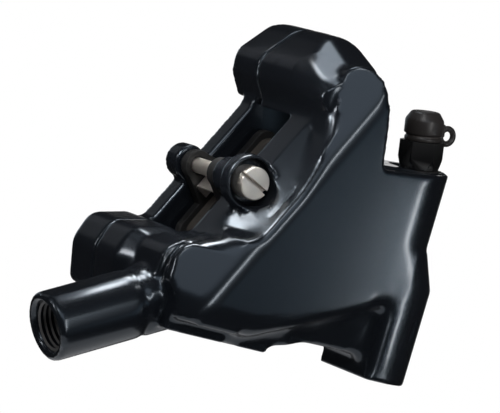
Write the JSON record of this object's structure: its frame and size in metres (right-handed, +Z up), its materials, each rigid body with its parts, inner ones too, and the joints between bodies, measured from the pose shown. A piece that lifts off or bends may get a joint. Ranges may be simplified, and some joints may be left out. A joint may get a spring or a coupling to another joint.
{
  "type": "bicycle disc brake caliper",
  "caption": "Rear flat mount hydraulic disc brake caliper for a road bicycle, with opposed pistons, pads on a slotted axle, hose port and capped bleed nipple.",
  "frame": {"origin": "on the mount face, midway between the two mounting threads", "axes": "+X along the mount face towards the rear of the bicycle, +Y inboard across the rotor, +Z up out of the mount face along the mounting threads"},
  "size_m": [0.0759, 0.0373, 0.0678],
  "materials": {
    "painted_body": "dark slate blue satin gloss coat over forged aluminium",
    "black_steel": "black finish steel",
    "bare_steel": "turned stainless steel, warm silver",
    "pad_steel": "dark coated steel backing plate",
    "lining": "pressed resin friction lining, matte",
    "piston": "smooth moulded piston",
    "seal_rubber": "black seal rubber",
    "cap_rubber": "brown black matte rubber"
  },
  "bodies": {
    "caliper": {"outer_body": "painted_body", "inner_body": "painted_body", "front_bridge_bolt": "black_steel", "rear_bridge_bolt": "black_steel", "crossover_seal": "seal_rubber", "outer_piston_seal": "seal_rubber", "inner_piston_seal": "seal_rubber", "pad_spring": "bare_steel", "pad_axle": "bare_steel", "pad_axle_clip": "bare_steel", "bleed_seal": "seal_rubber"},
    "outer_piston_body": {"outer_piston": "piston"},
    "inner_piston_body": {"inner_piston": "piston"},
    "outer_pad": {"outer_pad_plate": "pad_steel", "outer_pad_lining": "lining"},
    "inner_pad": {"inner_pad_plate": "pad_steel", "inner_pad_lining": "lining"},
    "nipple": {"bleed_nipple": "black_steel"},
    "cap": {"bleed_cap": "cap_rubber"}
  },
  "joints": [
    {"name": "outer_piston_slide", "type": "slide", "parent": "caliper", "child": "outer_piston_body", "axis": [0, 1, 0], "range_m": [0, 0.0012]},
    {"name": "inner_piston_slide", "type": "slide", "parent": "caliper", "child": "inner_piston_body", "axis": [0, -1, 0], "range_m": [0, 0.0012]},
    {"name": "outer_pad_slide", "type": "slide", "parent": "caliper", "child": "outer_pad", "axis": [0, 1, 0], "range_m": [0, 0.0012], "deforming": ["pad_spring"]},
    {"name": "inner_pad_slide", "type": "slide", "parent": "caliper", "child": "inner_pad", "axis": [0, -1, 0], "range_m": [0, 0.0012]},
    {"name": "nipple_turn", "type": "hinge", "parent": "caliper", "child": "nipple", "pos_m": [0.01479, 0, 0.03825], "axis": [-0.1994, 0, 0.9799], "range_deg": [0, 90]},
    {"name": "cap_pull", "type": "slide", "parent": "nipple", "child": "cap", "axis": [-0.1994, 0, 0.9799], "range_m": [0, 0.006]}
  ],
  "couplings": [
    {"joint": "inner_piston_slide", "follows": "outer_piston_slide", "ratio": 1},
    {"joint": "outer_pad_slide", "follows": "outer_piston_slide", "ratio": 1},
    {"joint": "inner_pad_slide", "follows": "outer_piston_slide", "ratio": 1}
  ]
}
